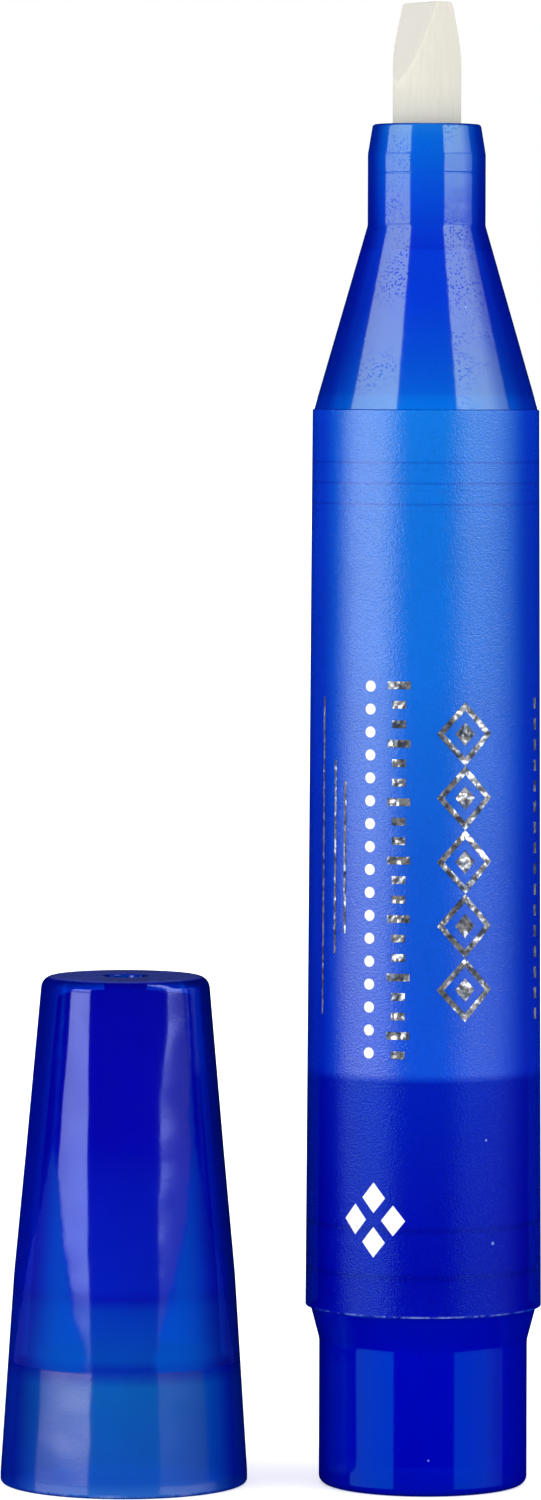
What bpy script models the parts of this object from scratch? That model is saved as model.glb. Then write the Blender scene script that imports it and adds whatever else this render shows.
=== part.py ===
"""Cuticle pen: a felt nib pen that stands on its end plug, with its cap taken off beside it.

The pen's axis is Z and its foot rests at the origin. The cap stands mouth down to the left of
the pen. Lengths are in metres, heights are measured upwards from the foot, and radii from the
axis of the piece that has them.
"""
import math

import bmesh
import bpy
from mathutils import Matrix, Vector

MM = 0.001

# Facets round a turned piece, and in a quarter of a rounded edge
SIDES = 40
ARC_STEPS = 3

# Clearances
SEAT_GAP = 0.3 * MM       # between faces that rest on each other
PRESS_GAP = 0.2 * MM      # round a piece that is pushed into another
WRAP_GAP = 0.1 * MM       # between the film and the fibres that it wraps
CUT_OVERRUN = 1.0 * MM    # how far a cutter reaches past what it cuts
WELD_DISTANCE = 0.01 * MM

# Barrel: a moulded tube, slightly wider at the foot
BARREL_TOP_DIAMETER = 16.57 * MM
BARREL_LENGTH = 65.3 * MM
BARREL_WALL = 0.9 * MM
BARREL_DRAFT_DEG = 0.276
BARREL_EDGE = 0.15 * MM

# End plug: the foot that the pen stands on, with a shank that seals the barrel
PLUG_FOOT_HEIGHT = 13.0 * MM
PLUG_FOOT_EDGE = 0.6 * MM
PLUG_FLARE_HEIGHT = 2.1 * MM
PLUG_FLARE_ROOT_HEIGHT = 0.5 * MM
PLUG_FLARE_ROOT_STEP = 0.05 * MM
PLUG_REVEAL = 0.35 * MM         # how far the flare stays inside the barrel's edge
PLUG_SHANK_LENGTH = 16.3 * MM
PLUG_SHANK_EDGE = 0.3 * MM
PLUG_FLOOR = 1.8 * MM
PLUG_RIB_COUNT = 2
PLUG_RIB_FIRST = 2.0 * MM       # from the barrel's foot to the first rib's middle
PLUG_RIB_PITCH = 3.4 * MM
POST_FIT = 0.15 * MM            # radial room when the cap is pushed on the foot

# Sealing ribs, the same on the plug's shank and on the front section's
RIB_HEIGHT = 0.2 * MM
RIB_WIDTH = 0.7 * MM
RIB_CREST_SHARE = 0.4

# Front section: cone and neck outside, ribbed shank inside the barrel
SHOULDER_STEP = 0.125 * MM      # the barrel's rim shows this far round the cone
CONE_HEIGHT = 13.4 * MM
CONE_WALL = 1.25 * MM
NECK_DIAMETER = 8.61 * MM
NECK_STRAIGHT = 5.2 * MM
NECK_TAPER_HEIGHT = 2.2 * MM
NECK_TAPER_STEP = 0.36 * MM
NECK_EDGE = 0.25 * MM
NECK_BORE_EDGE = 0.2 * MM
HOLDER_DEPTH = 1.9 * MM         # the solid nib holder reaches this far into the cone
FRONT_SHANK_LENGTH = 8.4 * MM
FRONT_SHANK_WALL = 0.8 * MM
FRONT_SHANK_EDGE = 0.3 * MM
FRONT_RIB_COUNT = 3
FRONT_RIB_FIRST = 3.8 * MM      # from the shoulder to the first rib's middle
FRONT_RIB_PITCH = 1.5 * MM

# Felt nib: a rod with a chisel tip, whose lower end drinks from the reservoir
NIB_DIAMETER = 5.0 * MM
NIB_REACH = 8.9 * MM            # beyond the neck
NIB_SINK = 9.3 * MM             # into the reservoir
NIB_FIT = 0.15 * MM
NIB_TIP_EDGE = 0.4 * MM
NIB_TAIL_EDGE = 0.4 * MM
CHISEL_LENGTH = 5.5 * MM
CHISEL_HALF_THICKNESS = 0.3 * MM
CHISEL_TURN_DEG = 58.0          # from the front towards the left

# Fibre reservoir and the film that wraps it
RESERVOIR_RISE = 1.0 * MM       # above the barrel's rim
RESERVOIR_LAND = 0.4 * MM       # its rim's width on the plug
RESERVOIR_FIT = 0.2 * MM
FILM_THICKNESS = 0.2 * MM

# Cap shell: closed, its mouth meets the barrel's rim and the inner cap seals on the neck
CAP_AXIS_X = -21.8 * MM
CAP_WALL = 1.3 * MM
CAP_MOUTH_WALL = 0.74 * MM
CAP_MOUTH_FIT = 0.1 * MM
CAP_MOUTH_EDGE = 0.35 * MM
CAP_MOUTH_LIP_EDGE = 0.12 * MM
CAP_MOUTH_STRAIGHT = 0.8 * MM
CAP_STEP_HEIGHT = 8.9 * MM      # where the thin mouth wall ends
CAP_STEP_SLANT = 0.2 * MM
CAP_BEND_HEIGHT_SHARE = 0.62    # of the way from the mouth to the waist
CAP_BEND_RADIUS_SHARE = 0.47    # of the way from the waist's radius to the mouth's
CAP_UPPER_DRAFT_DEG = 5.1
CAP_TOP_WALL = 1.4 * MM
CAP_TOP_EDGE = 0.9 * MM
CAP_VENT_DIAMETER = 3.1 * MM
CAP_VENT_SPACE = 3.3 * MM       # between the inner cap and the top

# Inner cap: a sleeve that seals on the neck, and a collar with vent grooves that holds it
SLEEVE_MOUTH_CLEARANCE = 0.3 * MM
SLEEVE_WALL = 0.9 * MM
SLEEVE_ROOM = 0.63 * MM         # between the sleeve and the shell at the collar
SEAL_FIT = 0.1 * MM
SLEEVE_LEAD_IN = 0.3 * MM
NECK_ROOM = 0.4 * MM            # above the neck when closed
COLLAR_START = 3.3 * MM         # from the neck's top when closed up to the collar's underside
NIB_SIDE_ROOM = 0.6 * MM
NIB_END_ROOM = 1.3 * MM
CHAMBER_WALL = 1.3 * MM
CHAMBER_CEILING = 1.2 * MM
VENT_GROOVE_COUNT = 4
VENT_GROOVE_WIDTH = 1.6 * MM
VENT_GROOVE_TURN_DEG = 45.0

# Heights on the pen
BARREL_FOOT_Z = PLUG_FOOT_HEIGHT
SHOULDER_Z = BARREL_FOOT_Z + BARREL_LENGTH
CONE_TOP_Z = SHOULDER_Z + CONE_HEIGHT
NECK_TAPER_Z = CONE_TOP_Z + NECK_STRAIGHT
NECK_TOP_Z = NECK_TAPER_Z + NECK_TAPER_HEIGHT
NIB_TOP_Z = NECK_TOP_Z + NIB_REACH
HOLDER_Z = CONE_TOP_Z - HOLDER_DEPTH
PLUG_RIM_Z = BARREL_FOOT_Z + PLUG_SHANK_LENGTH
RESERVOIR_TOP_Z = SHOULDER_Z + RESERVOIR_RISE
RESERVOIR_FOOT_Z = PLUG_RIM_Z + SEAT_GAP
NIB_TAIL_Z = RESERVOIR_TOP_Z - NIB_SINK
FRONT_SHANK_FOOT_Z = SHOULDER_Z - FRONT_SHANK_LENGTH

# Radii on the pen
BARREL_TOP_R = BARREL_TOP_DIAMETER / 2
CONE_BASE_R = BARREL_TOP_R - SHOULDER_STEP
NECK_R = NECK_DIAMETER / 2
NECK_TOP_R = NECK_R - NECK_TAPER_STEP
NIB_R = NIB_DIAMETER / 2
NIB_BORE_R = NIB_R + NIB_FIT

# Heights on the cap, from its mouth, which meets the shoulder when the cap is on
SLEEVE_MOUTH_Z = CONE_HEIGHT + SLEEVE_MOUTH_CLEARANCE
CLOSED_NECK_TOP_Z = NECK_TOP_Z - SHOULDER_Z
SEAL_END_Z = CLOSED_NECK_TOP_Z + NECK_ROOM
COLLAR_Z = CLOSED_NECK_TOP_Z + COLLAR_START
CHAMBER_END_Z = CLOSED_NECK_TOP_Z + NIB_REACH + NIB_END_ROOM
INNER_CAP_TOP_Z = CHAMBER_END_Z + CHAMBER_CEILING
CAP_CEILING_Z = INNER_CAP_TOP_Z + CAP_VENT_SPACE
CAP_TOP_Z = CAP_CEILING_Z + CAP_TOP_WALL
CAP_BEND_Z = CAP_MOUTH_STRAIGHT + (COLLAR_Z - CAP_MOUTH_STRAIGHT) * CAP_BEND_HEIGHT_SHARE

# Radii on the cap
SEAL_R = NECK_R + SEAL_FIT
SLEEVE_R = SEAL_R + SLEEVE_WALL
CHAMBER_R = NIB_R + NIB_SIDE_ROOM
CAP_WAIST_R = SLEEVE_R + SLEEVE_ROOM + CAP_WALL
CAP_MOUTH_INNER_R = CONE_BASE_R + CAP_MOUTH_FIT
CAP_MOUTH_R = CAP_MOUTH_INNER_R + CAP_MOUTH_WALL
CAP_BEND_R = CAP_WAIST_R + (CAP_MOUTH_R - CAP_WAIST_R) * CAP_BEND_RADIUS_SHARE


def line_radius(height, low, high):
    """The radius at a height on the straight line between two (radius, height) points."""
    share = (height - low[1]) / (high[1] - low[1])
    return low[0] + (high[0] - low[0]) * share


def barrel_outer_r(height):
    return BARREL_TOP_R + (SHOULDER_Z - height) * math.tan(math.radians(BARREL_DRAFT_DEG))


def barrel_inner_r(height):
    return barrel_outer_r(height) - BARREL_WALL


def shank_r(height):
    """A pushed-in shank, between its ribs."""
    return barrel_inner_r(height) - PRESS_GAP - RIB_HEIGHT


def cone_r(height):
    return line_radius(height, (CONE_BASE_R, SHOULDER_Z), (NECK_R, CONE_TOP_Z))


def cap_outer_r(height):
    if height > COLLAR_Z:
        return CAP_WAIST_R - (height - COLLAR_Z) * math.tan(math.radians(CAP_UPPER_DRAFT_DEG))
    if height > CAP_BEND_Z:
        return line_radius(height, (CAP_BEND_R, CAP_BEND_Z), (CAP_WAIST_R, COLLAR_Z))
    if height > CAP_MOUTH_STRAIGHT:
        return line_radius(height, (CAP_MOUTH_R, CAP_MOUTH_STRAIGHT), (CAP_BEND_R, CAP_BEND_Z))
    return CAP_MOUTH_R


def cap_inner_r(height):
    """The inside of the thick wall, above the step."""
    return cap_outer_r(height) - CAP_WALL


CAP_STEP_INNER_R = cap_outer_r(CAP_STEP_HEIGHT) - CAP_MOUTH_WALL
PLUG_FOOT_R = CAP_STEP_INNER_R - POST_FIT
FRONT_SHANK_INNER_R = shank_r(SHOULDER_Z) - FRONT_SHANK_WALL
FILM_R = FRONT_SHANK_INNER_R - RESERVOIR_FIT
RESERVOIR_R = FILM_R - FILM_THICKNESS - WRAP_GAP
PLUG_CUP_R = FILM_R - RESERVOIR_LAND


def rounded_corner(centre, radius, start_deg, end_deg):
    """Points on an arc in the (radius, height) plane, from one angle to another."""
    points = []
    for step in range(ARC_STEPS + 1):
        angle = math.radians(start_deg + (end_deg - start_deg) * step / ARC_STEPS)
        points.append((centre[0] + radius * math.cos(angle), centre[1] + radius * math.sin(angle)))
    return points


def rib_points(middle_z):
    """One sealing rib on a shank, from its top down."""
    crest = RIB_WIDTH * RIB_CREST_SHARE / 2
    foot = RIB_WIDTH / 2
    return [
        (shank_r(middle_z + foot), middle_z + foot),
        (shank_r(middle_z + crest) + RIB_HEIGHT, middle_z + crest),
        (shank_r(middle_z - crest) + RIB_HEIGHT, middle_z - crest),
        (shank_r(middle_z - foot), middle_z - foot),
    ]


def make_material(name, colour, roughness, metallic=0.0):
    material = bpy.data.materials.new(name)
    material.use_nodes = True
    shader = material.node_tree.nodes["Principled BSDF"]
    shader.inputs["Base Color"].default_value = (*colour, 1.0)
    shader.inputs["Roughness"].default_value = roughness
    shader.inputs["Metallic"].default_value = metallic
    material.diffuse_color = (*colour, 1.0)
    return material


def turned(name, profile, closed, parent, material, collection):
    """A solid turned about its parent's axis from a profile that runs down its outer side."""
    mesh = bpy.data.meshes.new(name)
    bm = bmesh.new()
    corners = [bm.verts.new((radius, 0.0, height)) for radius, height in profile]
    for first, second in zip(corners, corners[1:]):
        bm.edges.new((first, second))
    if closed:
        bm.edges.new((corners[-1], corners[0]))
    bm.to_mesh(mesh)
    bm.free()
    piece = bpy.data.objects.new(name, mesh)
    collection.objects.link(piece)
    piece.parent = parent
    piece.data.materials.append(material)
    screw = piece.modifiers.new("turn", "SCREW")
    screw.axis = "Z"
    screw.angle = math.tau
    screw.steps = SIDES
    screw.render_steps = SIDES
    screw.use_merge_vertices = True
    screw.merge_threshold = WELD_DISTANCE
    screw.use_smooth_shade = True
    return piece


def make_empty(name, location, collection):
    empty = bpy.data.objects.new(name, None)
    empty.location = location
    empty.empty_display_size = BARREL_TOP_DIAMETER
    collection.objects.link(empty)
    return empty


def make_cutter(name, size, matrix, parent, cutters):
    """A box with its middle at the matrix's place, which is in its parent's frame."""
    mesh = bpy.data.meshes.new(name)
    bm = bmesh.new()
    bmesh.ops.create_cube(bm, size=1.0, matrix=Matrix.Diagonal((*size, 1.0)))
    bm.to_mesh(mesh)
    bm.free()
    cutter = bpy.data.objects.new(name, mesh)
    cutter.parent = parent
    cutter.matrix_local = matrix
    cutter.hide_render = True
    cutter.display_type = "WIRE"
    cutters.objects.link(cutter)
    return cutter


def cut(piece, cutter):
    boolean = piece.modifiers.new(cutter.name, "BOOLEAN")
    boolean.operation = "DIFFERENCE"
    boolean.solver = "EXACT"
    boolean.object = cutter


def make_end_plug(axis, collection):
    flange_z = BARREL_FOOT_Z - SEAT_GAP / 2
    flare_root_z = flange_z - PLUG_FLARE_HEIGHT
    rib_middles = [
        BARREL_FOOT_Z + PLUG_RIB_FIRST + rib * PLUG_RIB_PITCH for rib in reversed(range(PLUG_RIB_COUNT))
    ]
    profile = [
        (0.0, PLUG_FLOOR),
        (PLUG_CUP_R, PLUG_FLOOR),
        (PLUG_CUP_R, PLUG_RIM_Z),
        (shank_r(PLUG_RIM_Z) - PLUG_SHANK_EDGE, PLUG_RIM_Z),
        (shank_r(PLUG_RIM_Z), PLUG_RIM_Z - PLUG_SHANK_EDGE),
    ]
    for middle in rib_middles:
        profile += rib_points(middle)
    profile += [
        (shank_r(flange_z), flange_z),
        (barrel_outer_r(BARREL_FOOT_Z) - PLUG_REVEAL, flange_z),
        (PLUG_FOOT_R + PLUG_FLARE_ROOT_STEP, flare_root_z),
        (PLUG_FOOT_R, flare_root_z - PLUG_FLARE_ROOT_HEIGHT),
    ]
    foot_centre = (PLUG_FOOT_R - PLUG_FOOT_EDGE, PLUG_FOOT_EDGE)
    profile += rounded_corner(foot_centre, PLUG_FOOT_EDGE, 0.0, -90.0)
    profile.append((0.0, 0.0))
    material = make_material("blue_gloss_polypropylene_plug", (0.0, 0.004, 0.35), 0.15)
    return turned("end_plug", profile, False, axis, material, collection)


def make_barrel(axis, collection):
    top = SHOULDER_Z - SEAT_GAP / 2
    foot = BARREL_FOOT_Z + SEAT_GAP / 2
    profile = [
        (barrel_outer_r(top) - BARREL_EDGE, top),
        (barrel_outer_r(top), top - BARREL_EDGE),
        (barrel_outer_r(foot), foot + BARREL_EDGE),
        (barrel_outer_r(foot) - BARREL_EDGE, foot),
        (barrel_inner_r(foot) + BARREL_EDGE, foot),
        (barrel_inner_r(foot), foot + BARREL_EDGE),
        (barrel_inner_r(top), top - BARREL_EDGE),
        (barrel_inner_r(top) + BARREL_EDGE, top),
    ]
    material = make_material("blue_satin_polypropylene", (0.0, 0.15, 0.7), 0.4)
    return turned("barrel", profile, True, axis, material, collection)


def make_front_section(axis, collection):
    base = SHOULDER_Z + SEAT_GAP / 2
    neck_edge_centre = (NECK_TOP_R - NECK_EDGE, NECK_TOP_Z - NECK_EDGE)
    shank_foot_r = shank_r(FRONT_SHANK_FOOT_Z)
    cavity_base_z = CONE_TOP_Z - (CONE_TOP_Z - SHOULDER_Z) * (
        FRONT_SHANK_INNER_R + CONE_WALL - NECK_R) / (CONE_BASE_R - NECK_R)
    profile = rounded_corner(neck_edge_centre, NECK_EDGE, 90.0, 0.0)
    profile += [
        (NECK_R, NECK_TAPER_Z),
        (NECK_R, CONE_TOP_Z),
        (cone_r(base), base),
        (shank_r(base), base),
    ]
    for rib in range(FRONT_RIB_COUNT):
        profile += rib_points(SHOULDER_Z - FRONT_RIB_FIRST - rib * FRONT_RIB_PITCH)
    profile += [
        (shank_foot_r, FRONT_SHANK_FOOT_Z + FRONT_SHANK_EDGE),
        (shank_foot_r - FRONT_SHANK_EDGE, FRONT_SHANK_FOOT_Z),
        (FRONT_SHANK_INNER_R, FRONT_SHANK_FOOT_Z),
        (FRONT_SHANK_INNER_R, cavity_base_z),
        (cone_r(HOLDER_Z) - CONE_WALL, HOLDER_Z),
        (NIB_BORE_R, HOLDER_Z),
        (NIB_BORE_R, NECK_TOP_Z - NECK_BORE_EDGE),
        (NIB_BORE_R + NECK_BORE_EDGE, NECK_TOP_Z),
    ]
    material = make_material("blue_gloss_polypropylene_front", (0.0, 0.045, 0.6), 0.12)
    return turned("front_section", profile, True, axis, material, collection)


def make_felt_nib(axis, collection, cutters):
    tip_centre = (NIB_R - NIB_TIP_EDGE, NIB_TOP_Z - NIB_TIP_EDGE)
    profile = [(0.0, NIB_TOP_Z)]
    profile += rounded_corner(tip_centre, NIB_TIP_EDGE, 90.0, 0.0)
    profile += [
        (NIB_R, NIB_TAIL_Z + NIB_TAIL_EDGE),
        (NIB_R - NIB_TAIL_EDGE, NIB_TAIL_Z),
        (0.0, NIB_TAIL_Z),
    ]
    material = make_material("cream_felt", (0.76, 0.74, 0.68), 0.8)
    nib = turned("felt_nib", profile, False, axis, material, collection)
    half_block = CHISEL_LENGTH
    block = (2 * half_block, 2 * half_block, 2 * half_block)
    rise = NIB_R - CHISEL_HALF_THICKNESS
    for side, name in ((1, "chisel_front_cutter"), (-1, "chisel_back_cutter")):
        turn = math.radians(CHISEL_TURN_DEG)
        outward = Vector((-math.sin(turn), -math.cos(turn), 0.0)) * side
        normal = (outward * CHISEL_LENGTH + Vector((0.0, 0.0, rise))).normalized()
        ridge = outward * CHISEL_HALF_THICKNESS + Vector((0.0, 0.0, NIB_TOP_Z))
        root = outward * NIB_R + Vector((0.0, 0.0, NIB_TOP_Z - CHISEL_LENGTH))
        place = Matrix.Translation((ridge + root) / 2 + normal * half_block)
        matrix = place @ normal.to_track_quat("Z", "Y").to_matrix().to_4x4()
        cut(nib, make_cutter(name, block, matrix, axis, cutters))
    return nib


def make_fibre_reservoir(axis, collection):
    hole_r = NIB_R + PRESS_GAP
    hole_floor_z = NIB_TAIL_Z - SEAT_GAP
    profile = [
        (0.0, hole_floor_z),
        (hole_r, hole_floor_z),
        (hole_r, RESERVOIR_TOP_Z),
        (RESERVOIR_R, RESERVOIR_TOP_Z),
        (RESERVOIR_R, RESERVOIR_FOOT_Z),
        (0.0, RESERVOIR_FOOT_Z),
    ]
    material = make_material("white_polyester_fibre", (0.86, 0.87, 0.86), 0.9)
    return turned("fibre_reservoir", profile, False, axis, material, collection)


def make_reservoir_film(axis, collection):
    inner = RESERVOIR_R + WRAP_GAP
    profile = [
        (FILM_R, RESERVOIR_TOP_Z),
        (FILM_R, RESERVOIR_FOOT_Z),
        (inner, RESERVOIR_FOOT_Z),
        (inner, RESERVOIR_TOP_Z),
    ]
    material = make_material("clear_film", (0.85, 0.88, 0.9), 0.2)
    return turned("reservoir_film", profile, True, axis, material, collection)


def make_cap_shell(axis, collection):
    vent_r = CAP_VENT_DIAMETER / 2
    edge_z = CAP_TOP_Z - CAP_TOP_EDGE
    edge_centre = (cap_outer_r(edge_z) - CAP_TOP_EDGE, edge_z)
    mouth_centre = (CAP_MOUTH_R - CAP_MOUTH_EDGE, CAP_MOUTH_EDGE)
    step_top = CAP_STEP_HEIGHT + CAP_STEP_SLANT
    profile = [(vent_r, CAP_TOP_Z)]
    profile += rounded_corner(edge_centre, CAP_TOP_EDGE, 90.0, 0.0)
    profile += [
        (CAP_WAIST_R, COLLAR_Z),
        (CAP_BEND_R, CAP_BEND_Z),
        (CAP_MOUTH_R, CAP_MOUTH_STRAIGHT),
    ]
    profile += rounded_corner(mouth_centre, CAP_MOUTH_EDGE, 0.0, -90.0)
    profile += [
        (CAP_MOUTH_INNER_R + CAP_MOUTH_LIP_EDGE, 0.0),
        (CAP_MOUTH_INNER_R, CAP_MOUTH_LIP_EDGE),
        (CAP_STEP_INNER_R, CAP_STEP_HEIGHT),
        (cap_inner_r(step_top), step_top),
        (cap_inner_r(CAP_BEND_Z), CAP_BEND_Z),
        (cap_inner_r(COLLAR_Z), COLLAR_Z),
        (cap_inner_r(CAP_CEILING_Z), CAP_CEILING_Z),
        (vent_r, CAP_CEILING_Z),
    ]
    material = make_material("blue_gloss_polypropylene_cap", (0.0, 0.01, 0.45), 0.12)
    return turned("cap_shell", profile, True, axis, material, collection)


def make_inner_cap(axis, collection, cutters):
    profile = [
        (0.0, INNER_CAP_TOP_Z),
        (cap_inner_r(INNER_CAP_TOP_Z) - PRESS_GAP, INNER_CAP_TOP_Z),
        (cap_inner_r(COLLAR_Z) - PRESS_GAP, COLLAR_Z),
        (SLEEVE_R, COLLAR_Z),
        (SLEEVE_R, SLEEVE_MOUTH_Z),
        (SEAL_R + SLEEVE_LEAD_IN, SLEEVE_MOUTH_Z),
        (SEAL_R, SLEEVE_MOUTH_Z + SLEEVE_LEAD_IN),
        (SEAL_R, SEAL_END_Z),
        (CHAMBER_R, SEAL_END_Z),
        (CHAMBER_R, CHAMBER_END_Z),
        (0.0, CHAMBER_END_Z),
    ]
    material = make_material("blue_gloss_polypropylene_inner_cap", (0.0, 0.02, 0.5), 0.2)
    inner_cap = turned("inner_cap", profile, False, axis, material, collection)
    floor_r = CHAMBER_R + CHAMBER_WALL
    outer_r = CAP_WAIST_R
    height = INNER_CAP_TOP_Z - COLLAR_Z + 2 * CUT_OVERRUN
    size = (outer_r - floor_r, VENT_GROOVE_WIDTH, height)
    middle = Vector(((outer_r + floor_r) / 2, 0.0, (INNER_CAP_TOP_Z + COLLAR_Z) / 2))
    for groove in range(VENT_GROOVE_COUNT):
        angle = math.radians(VENT_GROOVE_TURN_DEG) + math.tau * groove / VENT_GROOVE_COUNT
        matrix = Matrix.Rotation(angle, 4, "Z") @ Matrix.Translation(middle)
        cut(inner_cap, make_cutter(f"vent_groove_cutter_{groove + 1}", size, matrix, axis, cutters))
    return inner_cap


def main():
    for leftover in list(bpy.data.objects):
        bpy.data.objects.remove(leftover, do_unlink=True)
    scene_collection = bpy.context.scene.collection
    parts = bpy.data.collections.new("cuticle_pen")
    cutters = bpy.data.collections.new("cutters")
    scene_collection.children.link(parts)
    scene_collection.children.link(cutters)

    pen_axis = make_empty("pen_axis", (0.0, 0.0, 0.0), parts)
    make_end_plug(pen_axis, parts)
    make_barrel(pen_axis, parts)
    make_front_section(pen_axis, parts)
    make_felt_nib(pen_axis, parts, cutters)
    make_fibre_reservoir(pen_axis, parts)
    make_reservoir_film(pen_axis, parts)

    cap_axis = make_empty("cap_axis", (CAP_AXIS_X, 0.0, 0.0), parts)
    make_cap_shell(cap_axis, parts)
    make_inner_cap(cap_axis, parts, cutters)


main()
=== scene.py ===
"""The looks of a blue cuticle pen that stands on its plug, with its cap off beside it.

The pen's axis is Z and its foot rests at the origin. The cap stands mouth down to the left.
Lengths are in metres, heights are measured from the floor, and radii from a piece's own axis.
An azimuth is an angle round a piece, from its front, which faces the camera, to its right.
"""
import math

import bpy
from mathutils import Matrix, Vector


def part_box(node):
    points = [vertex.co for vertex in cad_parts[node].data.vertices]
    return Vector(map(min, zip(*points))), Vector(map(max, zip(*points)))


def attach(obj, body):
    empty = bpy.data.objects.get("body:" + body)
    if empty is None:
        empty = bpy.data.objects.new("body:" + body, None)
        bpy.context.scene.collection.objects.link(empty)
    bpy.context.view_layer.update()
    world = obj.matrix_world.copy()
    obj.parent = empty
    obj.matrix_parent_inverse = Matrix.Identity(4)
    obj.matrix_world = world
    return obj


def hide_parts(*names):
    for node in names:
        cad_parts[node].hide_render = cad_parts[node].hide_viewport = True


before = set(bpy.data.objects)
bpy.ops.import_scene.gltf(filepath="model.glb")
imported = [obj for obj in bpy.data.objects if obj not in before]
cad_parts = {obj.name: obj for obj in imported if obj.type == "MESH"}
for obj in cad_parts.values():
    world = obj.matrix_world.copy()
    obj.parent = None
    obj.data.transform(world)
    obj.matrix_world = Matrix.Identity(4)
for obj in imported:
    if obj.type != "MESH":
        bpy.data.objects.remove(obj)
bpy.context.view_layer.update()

MM = 0.001
SIDES = 144                     # facets round a turned piece
ROUND_STEP_DEG = 12.0           # a facet along a rounded edge turns no further than this
WELD = 0.002 * MM               # points closer than this are one
SMOOTH_DEG = 32.0               # edges sharper than this stay crisp
GUARD = 0.05 * MM               # a ring this close to a rounded edge keeps the flat beside it flat

# The solids keep a gap where pieces seat on each other. Here they meet in the middle of it.
SEAT_GAP = 0.3 * MM
SEAT_LINE = 0.006 * MM

# Heights on the pen, as in the solids
BARREL_FOOT_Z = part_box("barrel")[0].z - (SEAT_GAP - SEAT_LINE) / 2
BARREL_TOP_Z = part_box("barrel")[1].z + (SEAT_GAP - SEAT_LINE) / 2
FLANGE_Z = BARREL_FOOT_Z - SEAT_LINE
CONE_FOOT_Z = BARREL_TOP_Z + SEAT_LINE
PLUG_RIM_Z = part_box("end_plug")[1].z
PLUG_RIBS_Z = (18.4 * MM, 15.0 * MM)
SHANK_FOOT_Z = 69.9 * MM
SHANK_RIBS_Z = (74.5 * MM, 73.0 * MM, 71.5 * MM)
SEEN_ABOVE = 0.9 * MM           # the wall in front shows the plug this much higher than it is
HOLDER_Z = 89.8 * MM
CONE_TOP_Z = 91.7 * MM
NECK_LINE_Z = 95.5 * MM         # where the mould's insert leaves a fine line round the neck
NECK_TOP_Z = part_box("front_section")[1].z
NIB_TOP_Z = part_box("felt_nib")[1].z
NIB_TAIL_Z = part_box("felt_nib")[0].z

# Nib, whose chisel has two slanted cuts. It is turned so that one cut faces left and forwards.
NIB_R = 2.5 * MM
CHISEL_LENGTH = 5.3 * MM
CHISEL_HALF = 0.7 * MM
CHISEL_TURN = math.radians(62.0)
CHISEL_OUTWARD = Vector((-math.sin(CHISEL_TURN), -math.cos(CHISEL_TURN), 0.0))
CHISEL_NORMAL = (CHISEL_OUTWARD * CHISEL_LENGTH + Vector((0.0, 0.0, NIB_R - CHISEL_HALF))).normalized()

# Barrel
BARREL_FOOT_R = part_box("barrel")[1].x
BARREL_DRAFT = math.tan(math.radians(0.276))
BARREL_WALL = 0.9 * MM
PRESS_ROOM = 0.4 * MM           # between the barrel and a shank, between the shank's ribs
RIB_HEIGHT = 0.2 * MM
RIB_WIDTH = 0.7 * MM

# Cap, whose own axis is beside the pen
CAP_X = -21.8 * MM
CAP_TOP_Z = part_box("cap_shell")[1].z
CAP_MOUTH_R = 9.0 * MM
CAP_STEP_Z = 8.9 * MM           # the wall is thin below this height
CAP_STEP_RISE = 0.2 * MM        # and has its full thickness this much higher
CAP_WAIST_Z = 24.1 * MM         # the inner cap's collar starts here
CAP_VENT_R = 1.55 * MM
SLEEVE_MOUTH_Z = 13.7 * MM


def barrel_r(height):
    return BARREL_FOOT_R - (height - BARREL_FOOT_Z) * BARREL_DRAFT


def shank_r(height):
    return barrel_r(height) - BARREL_WALL - PRESS_ROOM


def linear(hex_colour):
    """An sRGB colour such as 2b50c0 as linear red, green, blue and alpha."""
    values = []
    for place in (0, 2, 4):
        share = int(hex_colour[place:place + 2], 16) / 255
        values.append(share / 12.92 if share <= 0.04045 else ((share + 0.055) / 1.055) ** 2.4)
    return (*values, 1.0)


def per_mm(size_mm):
    """The texture scale at which one cell of a pattern is this many millimetres wide."""
    return 1.0 / (size_mm * MM)


def add_node(material, kind, inputs=None, stops=(), **settings):
    """Adds a node, and sets each of its inputs to a value or links it to another node, which stands
    for the first of its outputs in use, or to one output. A colour ramp also gets its stops, which
    are pairs of a position and a colour."""
    node = material.node_tree.nodes.new("ShaderNode" + kind)
    for name, value in settings.items():
        setattr(node, name, value)
    for name, value in (inputs or {}).items():
        if isinstance(value, bpy.types.Node):
            value = next(output for output in value.outputs if output.enabled)
        if isinstance(value, bpy.types.NodeSocket):
            material.node_tree.links.new(value, node.inputs[name])
        else:
            node.inputs[name].default_value = value
    if stops:
        elements = node.color_ramp.elements
        elements[0].position, elements[0].color = stops[0]
        elements[1].position, elements[1].color = stops[-1]
        for position, colour in stops[1:-1]:
            elements.new(position).color = colour
    return node


def new_material(name):
    material = bpy.data.materials.new(name)
    material.use_nodes = True
    material.node_tree.nodes.clear()
    return material


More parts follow.
